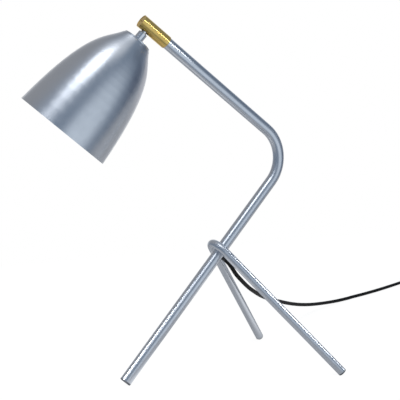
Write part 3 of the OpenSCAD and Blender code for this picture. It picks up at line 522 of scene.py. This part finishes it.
@dataclass(frozen=True)
class Camera:
    """The photograph's viewpoint."""

    place: Vector = field(default_factory=lambda: Vector((-0.53044, -1.01097, 0.37142)))
    target: Vector = field(default_factory=lambda: Vector((0.03175, 0.0, 0.24208)))
    lens: float = 76.836
    sensor: float = 36.0

    def build(self) -> None:
        """Makes the scene's camera."""
        data = bpy.data.cameras.new("camera")
        data.lens, data.sensor_width = self.lens, self.sensor
        camera = bpy.data.objects.new("camera", data)
        camera.location = self.place
        camera.rotation_euler = (self.target - self.place).to_track_quat("-Z", "Y").to_euler()
        bpy.context.scene.collection.objects.link(camera)
        bpy.context.scene.camera = camera


@dataclass(frozen=True)
class Softbox:
    """One soft lamp, aimed at a point.

    Args:
        name: the lamp's name.
        place: its middle.
        aim: the point that it faces.
        width: its width.
        height: its height.
        power: its power in watts.
        spread: angle that its grid lets the light out in, in degrees.
        roll: its turn about the line to the point, in degrees.
    """

    name: str
    place: Vector
    aim: Vector
    width: float
    height: float
    power: float
    spread: float = 180.0
    roll: float = 0.0

    def build(self) -> None:
        """Makes the lamp."""
        data = bpy.data.lights.new(self.name, "AREA")
        data.shape, data.size, data.size_y = "RECTANGLE", self.width, self.height
        data.energy = self.power
        data.spread = math.radians(self.spread)
        lamp = bpy.data.objects.new(self.name, data)
        lamp.location = self.place
        facing = (self.aim - self.place).to_track_quat("-Z", "Y")
        lamp.rotation_euler = (facing @ Quaternion((0, 0, 1), math.radians(self.roll))).to_euler()
        bpy.context.scene.collection.objects.link(lamp)


@dataclass(frozen=True)
class Glow:
    """A soft-edged region of the studio's surroundings.

    Args:
        azimuth: heading of its middle, in degrees from X.
        height: height of its middle above the level, in degrees.
        inner: angle from its middle that it fills, in degrees.
        outer: angle from its middle where it has faded out, in degrees.
        colour: its colour.
    """

    azimuth: float
    height: float
    inner: float
    outer: float
    colour: Colour

    def toward(self) -> Vector:
        """Direction of its middle."""
        turn, rise = math.radians(self.azimuth), math.radians(self.height)
        return Vector((math.cos(turn) * math.cos(rise), math.sin(turn) * math.cos(rise),
                       math.sin(rise)))

    def lay(self, tree: bpy.types.NodeTree, under: bpy.types.NodeSocket,
            direction: bpy.types.NodeSocket) -> bpy.types.NodeSocket:
        """Lays the region over the surroundings so far.

        Args:
            tree: the world's node tree.
            under: colour of the surroundings so far.
            direction: direction that is looked at.

        Returns:
            The socket of the new colour.
        """
        dot = tree.nodes.new("ShaderNodeVectorMath")
        dot.operation = "DOT_PRODUCT"
        dot.inputs[1].default_value = self.toward()
        tree.links.new(direction, dot.inputs[0])
        fade = tree.nodes.new("ShaderNodeMapRange")
        fade.interpolation_type = "SMOOTHSTEP"
        fade.inputs["From Min"].default_value = math.cos(math.radians(self.outer))
        fade.inputs["From Max"].default_value = math.cos(math.radians(self.inner))
        tree.links.new(dot.outputs["Value"], fade.inputs["Value"])
        mix = tree.nodes.new("ShaderNodeMix")
        mix.data_type = "RGBA"
        mix.inputs["B"].default_value = (*self.colour, 1)
        tree.links.new(fade.outputs["Result"], mix.inputs["Factor"])
        tree.links.new(under, mix.inputs["A"])
        return mix.outputs["Result"]


def seen_share(tree: bpy.types.NodeTree,
               gloss: bpy.types.NodeSocket | None = None) -> bpy.types.NodeSocket:
    """Share of white that a ray finds.

    Args:
        tree: the tree that it is worked out in.
        gloss: the share that a glossy ray finds, none if left out.

    Returns:
        The socket of the share, which is all for the camera and through glass.
    """
    rays = tree.nodes.new("ShaderNodeLightPath")
    in_gloss = tree.nodes.new("ShaderNodeMath")
    in_gloss.operation = "MULTIPLY"
    in_gloss.inputs[1].default_value = 0.0
    if gloss is not None:
        tree.links.new(gloss, in_gloss.inputs[1])
    tree.links.new(rays.outputs["Is Glossy Ray"], in_gloss.inputs[0])
    share = in_gloss.outputs["Value"]
    for name in ("Is Transmission Ray", "Is Camera Ray"):
        most = tree.nodes.new("ShaderNodeMath")
        most.operation = "MAXIMUM"
        tree.links.new(share, most.inputs[0])
        tree.links.new(rays.outputs[name], most.inputs[1])
        share = most.outputs["Value"]
    return share


@dataclass(frozen=True)
class Studio:
    """Pale floor, white backdrop in a dim room, and soft lamps."""

    floor_corners: tuple[Point, Point] = ((-0.55, -0.27), (1.2, 0.9))
    floor_drop: float = 0.2 * MM
    floor_colour: Colour = (0.33, 0.33, 0.34)
    floor_white: float = 0.935
    floor_shade: float = 0.13
    floor_gloss: float = 0.35
    # Painted pools of light: spots where the floor shows full white to glossy rays only, so the
    # legs reflect painted highlights.
    painted_pool_spots: tuple[Point, ...] = ((0.27, 0.02), (-0.07, 0.07))
    painted_pool_reach: Point = (0.05, 0.13)
    room: Colour = (0.235, 0.29, 0.365)
    glows: tuple[Glow, ...] = (
        Glow(64, 0, 16, 52, (1.0, 1.0, 1.0)),
        Glow(-82, -14, 14, 42, (0.84, 0.91, 0.98)),
        Glow(121, 42, 10, 55, (0.38, 0.38, 0.39)),
        Glow(25, -4, 9, 28, (0.68, 0.67, 0.68)),
        Glow(-19, 24, 4, 20, (0.12, 0.15, 0.20)),
        Glow(-16, -2, 5, 21, (0.08, 0.10, 0.15)),
        Glow(-6, -28, 6, 19, (0.08, 0.10, 0.15)),
        Glow(0, 90, 2, 22, (0.75, 0.78, 0.82)),
        Glow(-66, 68, 6, 26, (0.92, 0.94, 0.96)),
    )

    def painted_pool_share(self, tree: bpy.types.NodeTree) -> bpy.types.NodeSocket:
        """Share of white in the floor's gloss: full at painted pools of light between and beside
        the legs, seen only in reflections, where they put painted highlights on the legs.
        """
        place = tree.nodes.new("ShaderNodeTexCoord").outputs["Object"]
        nearest = tree.nodes.new("ShaderNodeMath")
        nearest.operation = "MINIMUM"
        for pool_spot, socket in zip(self.painted_pool_spots, nearest.inputs):
            apart = tree.nodes.new("ShaderNodeVectorMath")
            apart.operation = "DISTANCE"
            apart.inputs[1].default_value = (*pool_spot, 0)
            tree.links.new(place, apart.inputs[0])
            tree.links.new(apart.outputs["Value"], socket)
        fade = tree.nodes.new("ShaderNodeMapRange")
        fade.interpolation_type = "SMOOTHSTEP"
        for name, number in zip(("From Min", "From Max", "To Min", "To Max"),
                                (*self.painted_pool_reach, 1.0, self.floor_gloss)):
            fade.inputs[name].default_value = number
        tree.links.new(nearest.outputs["Value"], fade.inputs["Value"])
        return fade.outputs["Result"]

    def floor_material(self) -> bpy.types.Material:
        """Pale floor that is white to the camera and keeps a faint shadow, with painted pools of
        light in its gloss.
        """
        material = bpy.data.materials.new("studio_floor")
        material.use_nodes = True
        tree = material.node_tree
        tree.nodes.remove(tree.nodes["Principled BSDF"])
        lit = tree.nodes.new("ShaderNodeBsdfDiffuse")
        lit.inputs["Color"].default_value = (*self.floor_colour, 1)
        shaded = tree.nodes.new("ShaderNodeBsdfDiffuse")
        shaded.inputs["Color"].default_value = (*(self.floor_shade,) * 3, 1)
        white = tree.nodes.new("ShaderNodeEmission")
        white.inputs["Strength"].default_value = self.floor_white
        seen = tree.nodes.new("ShaderNodeAddShader")
        tree.links.new(white.outputs["Emission"], seen.inputs[0])
        tree.links.new(shaded.outputs["BSDF"], seen.inputs[1])
        mix = tree.nodes.new("ShaderNodeMixShader")
        # glossy rays see the painted pools of light on the floor
        tree.links.new(seen_share(tree, self.painted_pool_share(tree)), mix.inputs["Fac"])
        tree.links.new(lit.outputs["BSDF"], mix.inputs[1])
        tree.links.new(seen.outputs["Shader"], mix.inputs[2])
        tree.links.new(mix.outputs["Shader"], tree.nodes["Material Output"].inputs["Surface"])
        return material

    def floor(self) -> None:
        """Makes the floor."""
        (left, front), (right, back) = self.floor_corners
        bm = bmesh.new()
        bmesh.ops.create_grid(bm, x_segments=1, y_segments=1, size=0.5)
        bmesh.ops.scale(bm, vec=(right - left, back - front, 1), verts=bm.verts[:])
        bmesh.ops.translate(bm, verts=bm.verts[:],
                            vec=((left + right) / 2, (front + back) / 2, -self.floor_drop))
        mesh = bpy.data.meshes.new("floor")
        bm.to_mesh(mesh)
        bm.free()
        mesh.materials.append(self.floor_material())
        floor = bpy.data.objects.new("floor", mesh)
        bpy.context.scene.collection.objects.link(floor)

    def world(self) -> None:
        """White to the camera and through glass; a dim room with a white backdrop in gloss."""
        world = bpy.data.worlds.new("studio")
        bpy.context.scene.world = world
        world.use_nodes = True
        tree = world.node_tree
        direction = tree.nodes.new("ShaderNodeTexCoord").outputs["Generated"]
        room = tree.nodes.new("ShaderNodeRGB")
        room.outputs["Color"].default_value = (*self.room, 1)
        colour = room.outputs["Color"]
        for glow in self.glows:
            colour = glow.lay(tree, colour, direction)
        light = tree.nodes["Background"]
        tree.links.new(colour, light.inputs["Color"])
        white = tree.nodes.new("ShaderNodeBackground")
        white.inputs["Color"].default_value = (1, 1, 1, 1)
        mix = tree.nodes.new("ShaderNodeMixShader")
        tree.links.new(seen_share(tree), mix.inputs["Fac"])
        tree.links.new(light.outputs["Background"], mix.inputs[1])
        tree.links.new(white.outputs["Background"], mix.inputs[2])
        tree.links.new(mix.outputs["Shader"], tree.nodes["World Output"].inputs["Surface"])

    def build(self) -> None:
        """Makes the floor, the surroundings and the lamps."""
        self.floor()
        self.world()
        for box in (
            Softbox("key", Vector((-1.45, -1.62, 4.2)), Vector((-0.05, 0.0, 0.35)),
                    1.9, 2.2, 50),
            Softbox("legs", Vector((0.62, -0.37, 0.46)), Vector((0.12, -0.03, 0.08)),
                    0.16, 0.16, 0.055, 32),
            Softbox("sleeve", Vector((0.1933, -0.3422, 0.517)), Vector((-0.0463, 0.0, 0.473)),
                    0.1, 0.05, 0.003, 10, -48),
            Softbox("front leg", Vector((-0.62, -0.06, 0.52)), Vector((-0.21, 0.0, 0.1)),
                    0.2, 0.2, 0.08, 32),
        ):
            box.build()


# ------------------------------------------------------------------ cords


def slope(path: Sequence[Vector], i: int) -> Vector:
    """Direction of a smooth curve at one of its points."""
    last = len(path) - 1
    if i in (0, last):
        return (path[min(i, last - 1) + 1] - path[min(i, last - 1)]).normalized()
    back, on = path[i] - path[i - 1], path[i + 1] - path[i]
    a, b = back.length, on.length
    return (on * (a / b) + back * (b / a)) / (a + b)


def smoothed(path: Sequence[Vector], step: float) -> list[Vector]:
    """Points at about a step apart on the smooth curve through a path."""
    made = []
    for i, (start, end) in enumerate(zip(path, path[1:])):
        run = (end - start).length
        count = max(1, round(run / step))
        for k in range(count):
            t = k / count
            made.append(start * (2 * t ** 3 - 3 * t ** 2 + 1)
                        + slope(path, i) * run * (t ** 3 - 2 * t ** 2 + t)
                        + end * (3 * t ** 2 - 2 * t ** 3)
                        + slope(path, i + 1) * run * (t ** 3 - t ** 2))
    return made + [path[-1]]


def travelled(path: Sequence[Vector]) -> float:
    """Length of a path."""
    return sum((b - a).length for a, b in zip(path, path[1:]))


def ease(t: float) -> float:
    """Smooth step from 0 to 1."""
    t = min(1.0, max(0.0, t))
    return t * t * (3 - 2 * t)


@dataclass(frozen=True)
class Cord:
    """The mains lead: from the stem to the switch, and coiled on to the plug."""

    diameter: float = 6 * MM
    exit_run: float = 216 * MM
    nose_end: float = 13.5 * MM
    route: tuple[tuple[float, float, float], ...] = (
        (95, 7, 131), (110, 15, 118.5), (127.5, 26.5, 106), (147, 40, 94.5), (168, 56, 83.5),
        (204, 84, 68), (251, 120, 51), (288.5, 148, 38), (325, 173, 27), (371.5, 201, 16),
        (415, 222.5, 9), (456, 239, 4.8), (504.5, 255.5, 2.8), (552.5, 268.5, 2.8),
        (605, 285, 2.8), (635, 295.5, 2.8), (665, 306.5, 2.8), (690, 316, 3), (702, 320.5, 5),
        (712, 324, 6.6),
    )
    switch_entry: Point = (720 * MM, 327 * MM)
    switch_run: float = 68 * MM
    switch_height: float = 7 * MM
    heading: float = math.radians(20)
    coil_outer_r: float = 39 * MM
    coil_pitch: float = 6.4 * MM
    coil_rise: float = 6.2 * MM
    coil_lead: float = 38 * MM
    coil_tail: float = 18 * MM
    coil_turns: float = 4.5
    coil_ease: float = 0.08
    points_per_turn: int = 72
    plug_height: float = 6.8 * MM
    step: float = 3 * MM

    @property
    def ahead(self) -> Vector:
        """Direction of the switch along the floor."""
        return Vector((math.cos(self.heading), math.sin(self.heading), 0))

    @property
    def aside(self) -> Vector:
        """Direction from the switch's line to the coil's middle."""
        return Vector((math.sin(self.heading), -math.cos(self.heading), 0))

    def switch_end(self, travel: float) -> Vector:
        """Point on the switch's line, at the height where the cord meets it."""
        return Vector((*self.switch_entry, self.switch_height)) + self.ahead * travel

    def coil_start(self) -> Vector:
        """Point where the coil's first turn starts, at the floor's height."""
        start = self.switch_end(self.switch_run + self.coil_lead)
        return Vector((start.x, start.y, 0))

    def lead_path(self) -> list[Vector]:
        """Points from the grommet's nose to the switch."""
        stem = LINES.stem()
        nose = stem.at(self.exit_run) + stem.side * self.nose_end
        route = [nose, nose + stem.side * self.diameter]
        route += [Vector(p) * MM for p in self.route]
        path = smoothed(route + [self.switch_end(0)], self.step)
        return [Vector((p.x, p.y, max(p.z, self.diameter / 2))) for p in path]

    def coil_point(self, turns: float) -> Vector:
        """Point of the coil after a number of turns."""
        from_turn = turns - self.coil_turns / 2
        drawn_in = self.coil_turns / 2 - math.hypot(from_turn, self.coil_ease)
        radius = self.coil_outer_r - self.coil_pitch * drawn_in
        angle = self.heading + math.pi / 2 - TURN * turns
        middle = self.coil_start() + self.aside * self.coil_outer_r
        height = self.diameter / 2 + self.coil_rise * ease(2 * from_turn + 0.5)
        return middle + Vector((radius * math.cos(angle), radius * math.sin(angle), height))

    def plug_entry(self) -> Vector:
        """Point where the cord goes into the plug."""
        end = self.coil_point(self.coil_turns) - self.ahead * self.coil_tail
        return Vector((end.x, end.y, self.plug_height))

    def coil_path(self) -> list[Vector]:
        """Points from the switch through the coil to the plug."""
        lies, d = self.diameter / 2, self.diameter
        run_in = []
        for out in (0, d, 2 * d, self.coil_lead / 2, self.coil_lead - 2 * d):
            down = ease((out - d) / (self.coil_lead - 3 * d))
            point = self.switch_end(self.switch_run + out)
            point.z = lies + (self.switch_height - lies) * (1 - down)
            run_in.append(point)
        count = round(self.coil_turns * self.points_per_turn)
        loops = [self.coil_point(i / self.points_per_turn) for i in range(count + 1)]
        entry = self.plug_entry()
        run_out = [entry + self.ahead * (self.coil_tail - d), entry]
        head = smoothed(run_in + loops[:2], self.step)[:-1]
        tail = smoothed(loops[-2:] + run_out, self.step)[1:]
        return head + loops[1:-1] + tail

    def strand(self, name: str, path: Sequence[Vector], node: str) -> bpy.types.Object:
        """A round strand along a path, as a curve."""
        curve = bpy.data.curves.new(name, "CURVE")
        curve.dimensions = "3D"
        curve.bevel_depth, curve.bevel_resolution = self.diameter / 2, 6
        curve.use_fill_caps = True
        spline = curve.splines.new("POLY")
        spline.points.add(len(path) - 1)
        for point, place in zip(spline.points, path):
            point.co = (*place, 1)
        spline.use_smooth = True
        curve.materials.append(Stock.CORD.coat())
        obj = bpy.data.objects.new(name, curve)
        bpy.context.scene.collection.objects.link(obj)
        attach(obj, "stand")
        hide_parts(node)
        LOG.info("%s is %.3f m long", name, travelled(path))
        return obj

    def build(self, on_switch: Sequence[object], on_plug: Sequence[object]) -> None:
        lead, coil = self.lead_path(), self.coil_path()
        self.strand("mains_lead", lead, "cord_lead")
        self.strand("coiled_lead", coil, "cord_coil")


# ------------------------------------------------------------------ making the lamp


def main() -> None:
    """Builds the lamp's looks in order."""
    logging.basicConfig(level=logging.INFO, format="%(message)s")
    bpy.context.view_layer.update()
    bpy.context.scene.view_settings.view_transform = "Standard"
    Camera().build()
    nodes = frame["nodes"]
    Cord().build([nodes[n] for n in ("switch_base", "switch_cover", "switch_rocker",
                                     "switch_contacts", "switch_bushes", "switch_screws")],
                 [nodes[n] for n in ("plug_body", "plug_pins", "pin_sleeves")])
    dressed(Stock.STEM, "stem_tube")
    dressed(Stock.LEGS, "leg_hairpin", "leg_weld")
    dressed(Stock.SHADE, "shade")
    dressed(Stock.BRASS, "brass_sleeve", "sleeve_end_cap")
    dressed(Stock.NECK, "neck_spacer")
    dressed(Stock.STEEL, "joint_ball", "head_stud", "shade_washer", "lock_nut", "spring_washer",
            "bulb_cap", "bulb_contact", "switch_screws")
    dressed(Stock.FOOT, "stem_foot_plug", "leg_foot_plugs")
    dressed(Stock.PALE, "arm_bush", "ball_seat_outer", "ball_seat_inner")
    dressed(Stock.BLACK, "cord_grommet", "switch_base", "switch_cover", "switch_rocker",
            "plug_body", "pin_sleeves")
    dressed(Stock.CORD, "switch_bushes")
    dressed(Stock.WIRE, "stem_leads", "head_leads")
    dressed(Stock.CONTACT, "terminal_screws", "screw_shell", "contact_tongue",
            "switch_contacts", "plug_pins")
    dressed(Stock.CERAMIC, "holder_cap", "holder_skirt", "terminal_block", "bulb_collar")
    dressed(Stock.OPAL, "bulb_globe")
    dressed(Stock.INSULATOR, "bulb_insulator")
    Studio().build()


if __name__ == "__main__":
    main()
